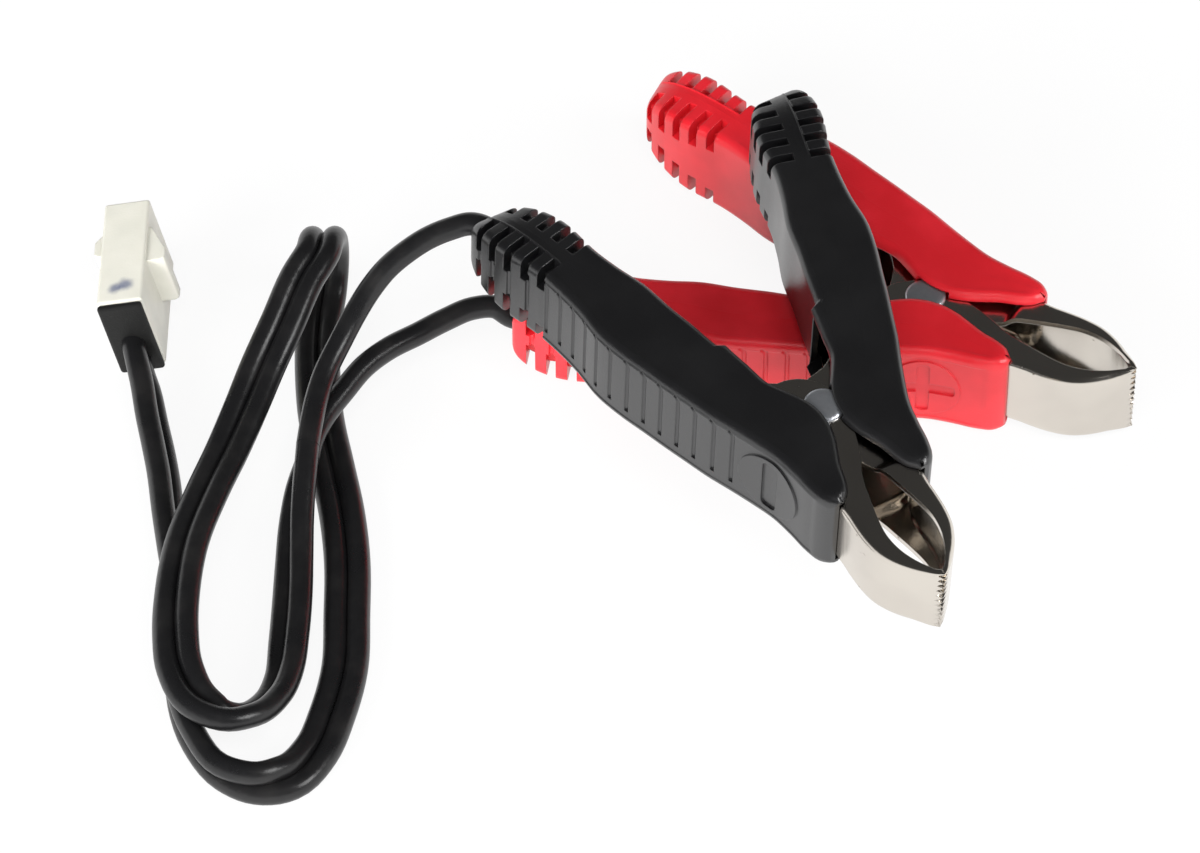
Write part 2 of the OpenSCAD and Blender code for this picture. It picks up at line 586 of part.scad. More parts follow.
place(black_tip, black_turn) crimp();  // black_crimp
place(black_tip, black_turn) core_end();  // black_core_end
flat_lead();
single_lead(black_route, black_turn);  // black_lead
single_lead(red_route, red_turn);  // red_lead
place(connector_at, connector_turn) connector_housing();
place(connector_at, connector_turn) connector_boot();
place(connector_at, connector_turn) contact_at(1);  // contact_positive
place(connector_at, connector_turn) contact_at(-1);  // contact_negative
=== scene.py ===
import math
from math import cos, sin, radians

import bmesh
import bpy
from mathutils import Euler, Matrix, Vector


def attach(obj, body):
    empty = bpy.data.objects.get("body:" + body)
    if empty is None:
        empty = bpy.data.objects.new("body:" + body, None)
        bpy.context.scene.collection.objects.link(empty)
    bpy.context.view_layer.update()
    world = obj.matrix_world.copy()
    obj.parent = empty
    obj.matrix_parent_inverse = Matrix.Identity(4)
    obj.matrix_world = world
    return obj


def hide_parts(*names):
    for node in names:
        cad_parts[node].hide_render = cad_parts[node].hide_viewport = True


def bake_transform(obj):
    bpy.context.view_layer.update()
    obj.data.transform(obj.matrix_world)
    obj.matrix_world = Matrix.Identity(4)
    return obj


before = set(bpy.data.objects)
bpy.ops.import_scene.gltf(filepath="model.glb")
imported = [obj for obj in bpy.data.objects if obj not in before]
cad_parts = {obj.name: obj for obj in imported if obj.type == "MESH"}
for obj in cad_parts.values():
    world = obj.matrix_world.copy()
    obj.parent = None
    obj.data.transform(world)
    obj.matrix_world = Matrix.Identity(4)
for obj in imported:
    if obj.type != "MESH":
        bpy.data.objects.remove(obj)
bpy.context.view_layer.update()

# Camera: a long lens looking down on the lead as it lies on the table, so that the two
# clamps keep nearly their true proportions.
centre = Vector((-32.77, -5.1, 0))
watched = centre / 1000
down, distance = radians(49.06), 1.12903
camera = bpy.data.objects.new("camera", bpy.data.cameras.new("camera"))
bpy.context.collection.objects.link(camera)
camera.data.lens = 210
camera.data.sensor_width = 36
camera.location = watched + distance * Vector((0, -cos(down), sin(down)))
camera.rotation_euler = (radians(90) - down, 0, 0)
bpy.context.scene.camera = camera
bpy.context.scene.view_settings.view_transform = "Standard"


# Table and surroundings: one plain white sheet under the object, pale walls low down and
# a dark ceiling, which the plated steel mirrors.
class Wire:
    """A socket in a material's nodes. Arithmetic on it adds Math nodes."""

    def __init__(self, tree, socket=None):
        self.tree, self.socket = tree, socket

    def add(self, kind, settings=None, inputs=None, out=0):
        made = self.tree.nodes.new("ShaderNode" + kind)
        for name, value in (settings or {}).items():
            setattr(made, name, value)
        for name, value in (inputs or {}).items():
            if isinstance(value, Wire):
                self.tree.links.new(value.socket, made.inputs[name])
            else:
                made.inputs[name].default_value = value
        return Wire(self.tree, made.outputs[out])

    def join(self, shader, name):
        self.tree.links.new(self.socket, shader.inputs[name])

    def sum(self, how, a, b):
        return self.add("Math", {"operation": how}, {0: a, 1: b})

    def __add__(self, b):
        return self.sum("ADD", self, b)

    def __sub__(self, b):
        return self.sum("SUBTRACT", self, b)

    def __rsub__(self, a):
        return self.sum("SUBTRACT", a, self)

    def __mul__(self, b):
        return self.sum("MULTIPLY", self, b)

    __radd__, __rmul__ = __add__, __mul__

    def most(self, b):
        return self.sum("MAXIMUM", self, b)

    def step(self, low, high):
        return self.add("MapRange", {"interpolation_type": "SMOOTHSTEP"},
                        {"Value": self, "From Min": low, "From Max": high})

    def mixed(self, a, b):
        return self.add("Mix", {"data_type": "RGBA"}, {0: self, 6: a, 7: b}, 2)


def shown_white(tree):
    """1 where the eye, a mirror or clear material looks straight at the sheet."""
    seen = [Wire(tree).add("LightPath", out=name)
            for name in ("Is Camera Ray", "Is Glossy Ray", "Is Transmission Ray")]
    return seen[0].most(seen[1]).most(seen[2])


white = (1, 1, 1, 1)
table_sheet = bpy.data.materials.new("table_sheet")
table_sheet.use_nodes = True
sheet_tree = table_sheet.node_tree
sheet_tree.nodes.clear()
sheet_colour = Wire(sheet_tree).add("BsdfDiffuse", inputs={"Color": (0.9, 0.9, 0.9, 1)})
sheet_glow = Wire(sheet_tree).add("Emission", inputs={"Color": white, "Strength": 1.0})
sheet_mix = Wire(sheet_tree).add("MixShader", inputs={
    0: shown_white(sheet_tree) * 0.9, 1: sheet_colour, 2: sheet_glow})
sheet_out = sheet_tree.nodes.new("ShaderNodeOutputMaterial")
sheet_mix.join(sheet_out, "Surface")

table = bpy.data.meshes.new("table")
table.from_pydata([(-6, -6, 0), (6, -6, 0), (6, 6, 0), (-6, 6, 0)], [], [(0, 1, 2, 3)])
table.materials.append(table_sheet)
table = bpy.data.objects.new("table", table)
bpy.context.collection.objects.link(table)
table.location.z = -0.00002   # a hair below the lead, so that the two never share a face

room = bpy.data.worlds.new("room")
bpy.context.scene.world = room
room.use_nodes = True
room_tree = room.node_tree
upwards = Wire(room_tree).add("SeparateXYZ", inputs={
    0: Wire(room_tree).add("TexCoord", out="Generated")}, out="Z")
walls = upwards.step(0.34, 0.08)
room_light = walls * 0.88 + 0.045
room_camera = Wire(room_tree).add("LightPath", out="Is Camera Ray")
room_level = room_camera + (1 - room_camera) * room_light
room_shader = room_tree.nodes["Background"]
room_level.join(room_shader, "Strength")
room_shader.inputs["Color"].default_value = white


# Lamps: soft boxes low in front and at the front left, above the front and on the right.
# Only the right one is mirrored, so that the glossy handles show the pale room instead.
def soft_box(name, place, size, power, mirrored=True):
    """A lamp of that size in metres and power in watts, turned to the clamps."""
    lamp = bpy.data.lights.new(name, "AREA")
    lamp.shape = "RECTANGLE"
    lamp.size, lamp.size_y = size
    lamp.energy = power
    stand = bpy.data.objects.new(name, lamp)
    bpy.context.collection.objects.link(stand)
    stand.location = place
    stand.visible_glossy = mirrored
    stand.rotation_euler = (watched - Vector(place)).to_track_quat("-Z", "Y").to_euler()


soft_box("front_box", (-0.15, -1.1, 0.45), (1.2, 0.5), 11.5, False)
soft_box("top_box", (0.05, -0.6, 1.15), (0.8, 0.5), 8.5, False)
soft_box("left_box", (-0.9, -0.75, 0.5), (0.7, 0.5), 17, False)
soft_box("right_box", (0.85, -0.35, 0.7), (0.5, 0.5), 6)


# Contacts and crimps of tinned brass. Each of the two contacts has a square socket in
# front and a barrel behind that is crimped on its core, and is pressed into the housing
# from the rear. A crimp in each cable handle joins the core to the steel arm.
def finish_of(name, colour, roughness, metallic=0.0, **fixed):
    """A new material, its shader and a loose end to add nodes with."""
    made = bpy.data.materials.new(name)
    made.use_nodes = True
    shader = made.node_tree.nodes["Principled BSDF"]
    shader.inputs["Base Color"].default_value = (*colour, 1)
    shader.inputs["Roughness"].default_value = roughness
    shader.inputs["Metallic"].default_value = metallic
    for key, value in fixed.items():
        shader.inputs[key.replace("_", " ").title().replace("Ior", "IOR")].default_value = value
    return made, shader, Wire(made.node_tree)


def grain(end, scale, detail=2.0, roughness=0.5, squeeze=(1, 1, 1)):
    """Noise in the object's own space; squeeze stretches it along one way."""
    place = end.add("TexCoord", out="Object")
    place = end.add("VectorMath", {"operation": "MULTIPLY"}, {0: place, 1: squeeze})
    return end.add("TexNoise", inputs={
        "Vector": place, "Scale": scale, "Detail": detail, "Roughness": roughness})


def relief(end, shader, height, depth, edge=0.0):
    """Bump from a height, over rounded edges where edge gives their radius."""
    inputs = {"Height": height, "Strength": 1.0, "Distance": depth}
    if edge:
        inputs["Normal"] = end.add("Bevel", {"samples": 6}, {"Radius": edge})
    end.add("Bump", inputs=inputs).join(shader, "Normal")


def dress(nodes, material):
    """Gives the solids of the model themselves a material."""
    for name in nodes:
        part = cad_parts[name]
        part.data.materials.clear()
        part.data.materials.append(material)


tinned, shader, end = finish_of("tinned_brass", (0.62, 0.58, 0.52), 0.35, 1.0)
dulled = grain(end, 900, 4).step(0.35, 0.75)
dulled.mixed((0.72, 0.7, 0.66, 1), (0.42, 0.38, 0.32, 1)).join(shader, "Base Color")
(dulled * 0.25 + 0.25).join(shader, "Roughness")
relief(end, shader, grain(end, 4000), 0.00003, 0.0001)
dress(["contact_positive", "contact_negative", "red_crimp", "black_crimp"], tinned)


# Connector housing of milky nylon, moulded in one piece: two square sockets in front,
# a latch ramp on one wide side and a small rib on the other.
def turned(angles):
    """The rotation by three angles in degrees."""
    return Euler([radians(a) for a in angles]).to_matrix()


def stand(at, turn):
    """Where a piece drawn in millimetres in its own frame stands in the model."""
    return millimetres @ Matrix.Translation(centre + Vector(at)) @ turned(turn).to_4x4()


def arc(r, angles, x=0, y=0):
    """Points round a centre, at angles in degrees."""
    return [(x + r * cos(radians(a)), y + r * sin(radians(a))) for a in angles]


def solid(name, points, faces):
    """An object of these points, welded, with all its faces turned outwards."""
    made = bpy.data.meshes.new(name)
    made.from_pydata([tuple(p) for p in points], [], faces)
    shape = bmesh.new()
    shape.from_mesh(made)
    bmesh.ops.remove_doubles(shape, verts=shape.verts, dist=1e-5)
    bmesh.ops.recalc_face_normals(shape, faces=shape.faces)
    shape.to_mesh(made)
    shape.free()
    body = bpy.data.objects.new(name, made)
    bpy.context.collection.objects.link(body)
    return body


def prism(name, outline, low, high, axis="z"):
    """Straight sides on an outline; axis y draws the outline in x and z."""
    n = len(outline)
    turn = {"z": lambda a, b, h: (a, b, h), "y": lambda a, b, h: (a, h, b)}[axis]
    points = [turn(a, b, h) for h in (low, high) for a, b in outline]
    faces = [tuple(range(n)), tuple(range(n, 2 * n))]
    faces += [(i, (i + 1) % n, n + (i + 1) % n, n + i) for i in range(n)]
    return solid(name, points, faces)


def block(name, low, high, edge=0.0, steps=3):
    """A block between two corners, its edges rounded."""
    body = prism(name, [(low[0], low[1]), (high[0], low[1]), (high[0], high[1]),
                        (low[0], high[1])], low[2], high[2])
    if edge:
        shape = bmesh.new()
        shape.from_mesh(body.data)
        bmesh.ops.bevel(shape, geom=shape.edges[:], offset=edge, segments=steps,
                        profile=0.5, affect="EDGES", clamp_overlap=True)
        shape.to_mesh(body.data)
        shape.free()
    return body


def carve(body, *tools, how="DIFFERENCE"):
    """Cuts or joins the tools, one after the other, and removes them."""
    for tool in tools:
        change = body.modifiers.new("carve", "BOOLEAN")
        change.operation, change.solver, change.object = how, "EXACT", tool
        seen = body.evaluated_get(bpy.context.evaluated_depsgraph_get())
        done = bpy.data.meshes.new_from_object(seen)
        body.modifiers.clear()
        body.data = done
        bpy.data.objects.remove(tool)
    return body


def settle(body, place, material, rides, nodes=(), sharp=35):
    """Moves a finished shape into the model and hands it to its body."""
    body.data.transform(place)
    if place.determinant() < 0:
        body.data.flip_normals()
    body.data.shade_smooth()
    body.data.set_sharp_from_angle(angle=radians(sharp))
    body.data.materials.clear()
    body.data.materials.append(material)
    body.modifiers.new("even_shading", "WEIGHTED_NORMAL").keep_sharp = True
    if rides:
        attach(body, rides)
    if nodes:
        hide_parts(*nodes)
    return body


millimetres = Matrix.Scale(0.001, 4)
plug_at, plug_turn = (-75.7, 11, 8.66), (-12, 0, 89)
plug_place = stand(plug_at, plug_turn)
housing = block("nylon_housing", (1.2, -3.8, -8), (23.2, 3.8, 8), 0.55)
ramp = prism("ramp", [(10.2, -3.7), (10.2, -6.1), (10.6, -6.7), (11.2, -6.8), (12.4, -6.8),
                      (17.6, -4.2), (17.6, -3.7)], -2.8, 7.2)
rib = prism("rib", [(12.2, 3.7), (12.4, 4.6), (12.8, 5), (15.3, 5), (16.7, 3.8), (16.7, 3.7)],
            4.4, 7.4)
carve(housing, ramp, rib, how="UNION")
poles = (-3.5, 3.5)
sockets = [block("socket", (8.9, -2.6, z - 2.6), (24, 2.6, z + 2.6), 0.3, 2) for z in poles]
lead_ins = [block("lead_in", (22.5, -2.9, z - 2.9), (24, 2.9, z + 2.9), 0.2, 1) for z in poles]
carve(housing, *sockets, *lead_ins, block("pocket", (0.2, -3, -6.4), (9, 3, 6.4), 0.3, 2))

nylon, shader, end = finish_of("milky_nylon", (0.62, 0.61, 0.55), 0.38,
                               subsurface_weight=0.2, subsurface_scale=0.002)
shader.inputs["Subsurface Radius"].default_value = (1, 0.95, 0.85)
# Painted shade: dark patches in the base colour where the contacts inside show through the nylon
# walls.
spot = end.add("TexCoord", out="Object")
cloud = grain(end, 220, 2)
blur = grain(end, 700, 2) * 0.001
painted_shade = 0   # painted shade where the dark metal inside shows through the thin walls just in front of the boot
for at, radius in (((4.9, -0.9, 8), 0.0016), ((4.3, 0.9, 8), 0.0014)):
    metal_at = tuple(plug_place @ Vector(at))
    far = end.add("VectorMath", {"operation": "DISTANCE"}, {0: spot, 1: metal_at}, "Value")
    painted_shade = painted_shade + (far + blur).step(radius * 1.5, radius * 0.4)
milk = cloud.mixed((0.67, 0.655, 0.585, 1), (0.56, 0.555, 0.49, 1))
# The milky tone, darkened by the painted shade of the metal inside.
(painted_shade * 0.8).mixed(milk, (0.1, 0.12, 0.2, 1)).join(shader, "Base Color")
(cloud * 0.15 + 0.3).join(shader, "Roughness")
relief(end, shader, grain(end, 2500), 0.00002, 0.00025)
settle(housing, plug_place, nylon, "base", ["connector_housing"])


# Boot of black rubber behind the housing: a flange with an arched outlet for the lead
# and a plug that fills the housing's rear pocket.
boot = block("rubber_boot", (0, -3.7, -7.9), (1.21, 3.7, 7.9), 0.58, 4)
boot_core = block("boot_core", (1, -2.95, -6.35), (9, 2.95, 6.35), 0.3, 2)
carve(boot, boot_core, how="UNION")
arch_r, arch_z = 2.5, -0.8
arch = arc(arch_r, range(0, 181, 15), 0, arch_z) + [(-arch_r, -9), (arch_r, -9)]
arch = prism("arch", [(z, y) for y, z in arch], -1, 4)
arch.data.transform(Matrix(((0, 0, 1, 0), (0, 1, 0, 0), (1, 0, 0, 0), (0, 0, 0, 1))))
carve(boot, arch)

rubber, shader, end = finish_of("matte_rubber", (0.008, 0.008, 0.0077), 0.6,
                                specular_ior_level=0.3)
dust = grain(end, 2600, 3).step(0.68, 0.78)
worn = grain(end, 500, 3)
(dust * 0.22).mixed(worn.mixed((0.006, 0.006, 0.006, 1), (0.011, 0.011, 0.0105, 1)),
                    (0.14, 0.14, 0.13, 1)).join(shader, "Base Color")
(worn * 0.3 + 0.45).join(shader, "Roughness")
relief(end, shader, grain(end, 3500, 3), 0.00005, 0.0003)
settle(boot, plug_place, rubber, "base", ["connector_boot"])


# Flat two-core lead, extruded black PVC round stranded copper: two round lobes with a
# deep groove between them. It leaves the boot on edge, lies down round the outer loop,
# folds back over itself and comes round the inner loop on top, turning over at its end.
def flowing(rows, steps):
    """A smooth curve through rows of numbers; the first three are a place."""
    gaps = [math.dist(a[:3], b[:3]) for a, b in zip(rows, rows[1:])]
    last = len(rows) - 1

    def lean(i):
        if i in (0, last):
            j = min(i, last - 1)
            return [(b - a) / gaps[j] for a, b in zip(rows[j], rows[j + 1])]
        g, h = gaps[i - 1], gaps[i]
        return [((c - b) / h * g + (b - a) / g * h) / (g + h)
                for a, b, c in zip(rows[i - 1], rows[i], rows[i + 1])]

    made = []
    for i in range(last):
        for k in range(steps):
            t = k / steps
            made.append([(2 * t**3 - 3 * t**2 + 1) * a + (t**3 - 2 * t**2 + t) * gaps[i] * m
                         + (3 * t**2 - 2 * t**3) * b + (t**3 - t**2) * gaps[i] * n
                         for a, b, m, n in zip(rows[i], rows[i + 1], lean(i), lean(i + 1))])
    return made + [list(rows[last])]


def ways(path):
    """The direction of a path at each of its points."""
    ends = [path[0]] + path + [path[-1]]
    return [(b - a).normalized() for a, b in zip(ends, ends[2:])]


def tube(name, rings):
    """A closed skin over rings of points, flat at both ends."""
    n = len(rings[0])
    faces = [tuple(range(n)), tuple(len(rings) * n - 1 - k for k in range(n))]
    for i in range(len(rings) - 1):
        for k in range(n):
            j = (k + 1) % n
            faces.append((i * n + k, (i + 1) * n + k, (i + 1) * n + j, i * n + j))
    return solid(name, [p for ring in rings for p in ring], faces)


# Each row is a place on the lead's middle line and its roll in degrees: 0 lies flat and
# 90 stands on edge. The fold is an upright half circle that leans a little sideways.
lobe_half, core_r, groove_half = 1.8, 1.9, 0.62
boot_frame = Matrix.Translation(centre + Vector(plug_at)) @ turned(plug_turn).to_4x4()
outer_rows = [(-74.3, 8, 5.7, 104), (-73.2, 4, 5, 110), (-72, -2, 4.1, 115),
              (-70.7, -8, 3.6, 117), (-69.6, -14, 3.5, 116), (-68.6, -22, 3.6, 113),
              (-67.5, -30, 3.6, 108), (-66.4, -38, 3.7, 102), (-66, -48, 3.8, 96),
              (-65.8, -57, 3.8, 92), (-62.9, -67, 3.8, 90), (-58.2, -73.8, 3.8, 92),
              (-53, -75.8, 3.7, 74), (-48, -74.2, 3.1, 36), (-44, -68.5, 2.2, 8),
              (-41.6, -61, 2, 0), (-39.9, -52, 2, 0), (-39.8, -41, 2, 0), (-40, -30, 2, 0),
              (-41.1, -20, 2, 0), (-43, -10, 2, 0), (-44.9, 0, 2, 0), (-45.7, 9, 2, 0),
              (-45.9, 17, 2, 0)]
fold_x, fold_y, fold_z, fold_r = -45.6, 22.5, 9.5, 7.5
fold_rows = [(fold_x + cos(radians(a)), fold_y + fold_r * cos(radians(a)),
              fold_z + fold_r * sin(radians(a)), 0) for a in range(-90, 91, 30)]
inner_rows = [(-48, 17.5, 16.4, 0), (-51, 10, 14, 0), (-54, 3, 11.5, 0), (-56.5, -4.4, 10, -6),
              (-59.3, -13, 9.2, -12), (-62.2, -22.1, 9.5, -16), (-65, -32.8, 9.7, -18),
              (-66, -42.1, 9.8, -16), (-66, -51, 9.8, -11), (-65, -58.1, 9.7, -3),
              (-62.2, -63.8, 9.3, 12), (-58.2, -66.2, 8.6, 30), (-54.4, -65, 7, 42),
              (-51, -60.4, 5, 45), (-49.2, -54, 3.6, 45), (-48.7, -47, 3.4, 40),
              (-48.4, -39, 3.4, 41), (-48.3, -31, 3.8, 48), (-48.1, -24, 5.2, 57),
              (-47.5, -18, 6.8, 68), (-46.5, -12, 7.8, 88)]
outlet_z, boot_roll = -2.7, 102
inside_boot = [(*(boot_frame @ Vector((x, 0, outlet_z)) - centre), boot_roll) for x in (4, 1)]
flat_rows = inside_boot + outer_rows + fold_rows + inner_rows
fold_start = len(inside_boot) + len(outer_rows)
fold_stop = fold_start + len(fold_rows)
flat_points = [Vector(row[:3]) + centre for row in flat_rows]
rows = []
for i, (point, way) in enumerate(zip(flat_points, ways(flat_points))):
    if fold_start <= i < fold_stop:
        level = Vector((-1, 0, 0))
    else:
        level = Vector((-way.y, way.x, 0)).normalized() * (1 if i < fold_start else -1)
    roll = radians(flat_rows[i][3])
    width = cos(roll) * level + sin(roll) * Vector((0, 0, 1))
    width = (width - way * width.dot(way)).normalized()
    rows.append((*point, *width))
flat_line = flowing(rows, 5)
flat_path = [Vector(row[:3]) for row in flat_line]
lobe = arc(core_r, range(-150, 151, 15), lobe_half)
flat_section = (lobe + [(0, groove_half)] + [(-x, y) for x, y in reversed(lobe)]
                + [(0, -groove_half)])
rings = []
for point, way, row in zip(flat_path, ways(flat_path), flat_line):
    width = Vector(row[3:])
    width = (width - way * width.dot(way)).normalized()
    side = way.cross(width)
    rings.append([point + x * width + y * side for x, y in flat_section])
flat_lead = tube("flat_two_core_lead", rings)

pvc, shader, end = finish_of("black_pvc", (0.009, 0.009, 0.0095), 0.3, ior=1.5)
rubbed = grain(end, 160, 4, 0.6)
rubbed.step(0.4, 0.8).mixed((0.007, 0.007, 0.0075, 1), (0.013, 0.0125, 0.0125, 1)).join(
    shader, "Base Color")
(rubbed * 0.2 + 0.2).join(shader, "Roughness")
relief(end, shader, grain(end, 900, 3), 0.00004)
settle(flat_lead, millimetres, pvc, "base", ["flat_lead"], 60)


# The two single cores of the lead, black PVC like its lobes. Where the web between them
# ends they part: the black clamp's core lies on top and rises, the red clamp's passes
# under it and stays low.
def round_rings(path, radius, sides, from_way=None, to_way=None):
    """Rings round a path that turn no more than the path does."""
    lean = ways(path)
    lean[0], lean[-1] = from_way or lean[0], to_way or lean[-1]
    side = lean[0].orthogonal().normalized()
    rings = []
    for point, way in zip(path, lean):
        side = (side - way * side.dot(way)).normalized()
        up = way.cross(side)
        rings.append([point + radius * (side * cos(math.tau * k / sides)
                                        + up * sin(math.tau * k / sides))
                      for k in range(sides)])
    return rings


handle_end, pivot_x = 96.0, 36.4
leg_slope = 0.2736
leg_angle = math.atan(leg_slope)
clamps = {"red": ((85.4, -1, 8.5), (0, 0, 155.1)),   # place of the jaw's tip, and its turn
          "black": ((52.5, -55, 22.8), (-0.8, -4, 119.4))}


def leg_y(x):
    """The middle of the cable arm's straight rear leg, x from the jaw's tip."""
    return 14.5 + leg_slope * (x - pivot_x - 17.6)


def behind(colour, far):
    """A place straight behind a handle's rear end."""
    at, turn = clamps[colour]
    spot = Vector((handle_end + far * cos(leg_angle), leg_y(handle_end) + far * sin(leg_angle), 0))
    return tuple(Vector(at) + turned(turn) @ spot)


core_off = 1.95
split_side = Vector(flat_line[-1][3:]).normalized() * core_off
split = flat_path[-1] - centre
routes = {
    "black": [tuple(split + split_side), (-46, -8, 10.2), (-45.3, -3.5, 10.7), (-44, 1.5, 11.5),
              (-41.8, 6.3, 13.1), (-39.3, 10.4, 15.7), (-36.8, 13.2, 18.6), (-34.1, 15.1, 21.4),
              (-31, 16.5, 23.7), (-27.5, 17.7, 25.7), (-24, 18.1, 27.4), (-20.6, 18, 28.7),
              behind("black", 1), behind("black", 0)],
    "red": [tuple(split - split_side), (-46, -8.6, 6.3), (-44.1, -3.6, 6.9), (-41.2, 1, 7.5),
            (-37.9, 5.7, 8.2), (-33.8, 9.5, 8.5), (-29.5, 12.2, 8.7), (-25, 14.8, 9.3),
            (-20.6, 16.8, 9.8), (-17, 17.2, 9.7), behind("red", 1.5), behind("red", 0)]}
flat_way = (flat_path[-1] - flat_path[-2]).normalized()
for colour, length in (("black", 0.055), ("red", 0.047)):
    path = [Vector(p) + centre for p in flowing(routes[colour], 6)]
    into = turned(clamps[colour][1]) @ Vector((-cos(leg_angle), -sin(leg_angle), 0))
    core = tube(f"{colour}_core_lead", round_rings(path, core_r, 24, flat_way, into))
    settle(core, millimetres, pvc, "base", [f"{colour}_lead"], 60)


# Handle sleeves, moulded soft vinyl pushed over the steel arms: an outer face with grip
# grooves and a round pad with the sunk polarity sign, rounded beads along its edges, and a
# strain relief of slotted ribs at the rear end.
def table_of(points):
    """A smooth curve through points, read as a height at any x."""
    dense = flowing(points, 6)

    def read(x):
        if x <= dense[0][0]:
            return dense[0][1]
        for (x0, y0), (x1, y1) in zip(dense, dense[1:]):
            if x <= x1:
                return y0 + (y1 - y0) * (x - x0) / max(x1 - x0, 1e-9)
        return dense[-1][1]
    return read


reach = handle_end - pivot_x
tail_half = [(-26, 6.1), (-21, 5.5), (-16, 5.3), (-13, 5.6), (-10.5, 5.95), (-8, 6.05), (-6, 5.9),
             (-4, 5.6), (-2.2, 5.1), (-1, 4.6), (-0.4, 4.2), (0, 3.7)]


def tail(side):
    """One side of the strain relief, narrow before its ribs and round at its end."""
    return [(reach + x, leg_y(handle_end + x) + side * half) for x, half in tail_half]


outer_y = table_of([(-17.8, 8.4), (-17.4, 9.1), (-16.4, 9.9), (-14, 10.7), (-10, 11.3), (-6, 12.1),
                    (-2, 13.6), (2, 15.3), (6, 17.1), (10, 18.6), (14, 20.1), (18, 21.5),
                    (23, 23.3), (28, 24.6)] + tail(1))
inner_y = table_of([(-17.8, 6.8), (-16.4, 5.3), (-14.4, 4.4), (-11.4, 3.6), (-9, 2.6),
                    (-6.4, 1.6), (-3.4, 1), (-0.4, 1.2), (2.1, 2.1), (5.1, 4), (7.6, 5.5),
                    (11.6, 6.4), (16.6, 7.5), (17.1, 7.6), (17.6, 8.7), (18.2, 8.9), (23, 10.1),
                    (28, 11.5)] + tail(-1))
half_z = table_of([(x, 8.5 + dz) for x, dz in (
    (-17.8, -0.8), (-17.2, -0.3), (-16.2, 0), (-15.4, 0), (-14, 0), (38, 0), (40, 0),
    (42, 0), (44.6, -0.05), (47.3, -0.15), (50.6, -0.45), (53.8, -1.05), (56.8, -2.1),
    (58.6, -3.2), (59.2, -3.8), (59.6, -4.5))])
wall, slip, steel_half = 1.4, 0.1, 7
notch, seat_r, seat_half = 17.4, 3.75, 7.95
set_back, set_in, mould_line = 0.14, 0.07, 0.16
face_from, face_to = -14.6, 42.2


def web_y(x):
    """Outside of the steel web, x from the jaw's tip."""
    return outer_y(x - pivot_x) - wall - slip


def ramped(x, start, stop, width=0.5):
    """1 between two places, falling to 0 over width outside them."""
    return max(0.0, min(1.0, 1 - (start - x) / width, 1 - (x - stop) / width))


def sleeve_ring(x, inset=0.0):
    """Outline of a handle x from the pivot: beads, set-back faces, mould line."""
    y0, y1, h = inner_y(x) + inset, outer_y(x) - inset, half_z(x) - inset
    r = min(0.25 if inset else 1.6, (y1 - y0) / 2 - 0.05)
    beaded = ramped(x, face_from, face_to) if not inset else 0
    back, sunk = set_back * beaded, set_in * beaded
    ribbed = ramped(x, 43.2, 59)
    line = mould_line if not inset else 0
    mid = (y0 + y1) / 2
    off = min(1.3, (y1 - y0) / 2 - r - line - 0.3)
    top = [(y1 - r - line, h - sunk), (mid + off + 0.2, h - sunk),
           (mid + off, h - sunk + 0.22 * ribbed), (mid + off - 0.2, h - sunk),
           (mid + 0.2, h - sunk), (mid, h - sunk + line / 3), (mid - 0.2, h - sunk),
           (y0 + r + line, h - sunk)]
    ring = [(y1 - back, line + r - h), (y1 - back, h - r - line)]
    ring += [(y1 - r + r * cos(radians(a)), h - r + r * sin(radians(a))) for a in range(0, 91, 15)]
    ring += top
    ring += [(y0 + r - r * sin(radians(a)), h - r + r * cos(radians(a))) for a in range(0, 91, 15)]
    ring += [(y0 + r - r * cos(radians(a)), r - h - r * sin(radians(a))) for a in range(0, 91, 15)]
    ring += [(y, -z) for y, z in reversed(top)]
    ring += [(y1 - r + r * sin(radians(a)), r - h - r * cos(radians(a))) for a in range(0, 91, 15)]
    return [Vector((pivot_x + x, y, z)) for y, z in ring]


def spread(start, stop, step):
    """Places from start up to stop, which isn't one of them, about a step apart."""
    n = max(1, round((stop - start) / step))
    return [start + (stop - start) * i / n for i in range(n)]


jaw_end = 19.4
jaw_side = [(-0.3, 0), (0.4, 1.1), (1.6, 2.4), (3.3, 4), (5.4, 5.6), (8, 6.9), (11, 7.5),
            (14, 7.6), (17, 7.5), (jaw_end, 7.7)]
steel_line = flowing(jaw_side + [(pivot_x + x, outer_y(x) - wall - slip) for x in
                                 (-14.2, -10, -6.4, -3.4, -0.4, 2.1, 5.1, 7.6, 11.6, 16.6, 18.2,
                                  23, 28, 30.6)], 6)
face_at = [(0.0, -17.0)]
for x in spread(-17, 58, 0.25)[1:]:
    far, old = face_at[-1]
    face_at.append((far + math.hypot(x - old, outer_y(x) - outer_y(old)), x))
sign_at = next(far for far, x in face_at if x >= -5)


def on_face(along, up, lift):
    """A place on a handle's outer face, measured from the sign's centre."""
    want = sign_at + along
    x = next((b[1] + (a[1] - b[1]) * (b[0] - want) / (b[0] - a[0])
              for a, b in zip(face_at, face_at[1:]) if b[0] >= want), 58)
    slope = (outer_y(x + 0.2) - outer_y(x - 0.2)) / 0.4
    normal = Vector((-slope, 1, 0)).normalized()
    return Vector((pivot_x + x, outer_y(x) - set_back, up)) + normal * lift


def pad(name, outline, low, high):
    """A thin block on the outer face, its outline drawn round the sign's centre."""
    shares = (0.001, 0.3, 0.6, 0.85, 1)
    n = len(outline)
    points = [on_face(a * f, b * f, lift) for lift in (low, high) for f in shares
              for a, b in outline]
    layer = n * len(shares)
    faces = [tuple(range(n)), tuple(range(layer, layer + n))]
    for i in range(len(shares) - 1):
        for k in range(n):
            j = (k + 1) % n
            for base in (0, layer):
                faces.append((base + i * n + k, base + i * n + j,
                              base + (i + 1) * n + j, base + (i + 1) * n + k))
    rim = (len(shares) - 1) * n
    faces += [(rim + k, rim + (k + 1) % n, layer + rim + (k + 1) % n, layer + rim + k)
              for k in range(n)]
    return solid(name, points, faces)


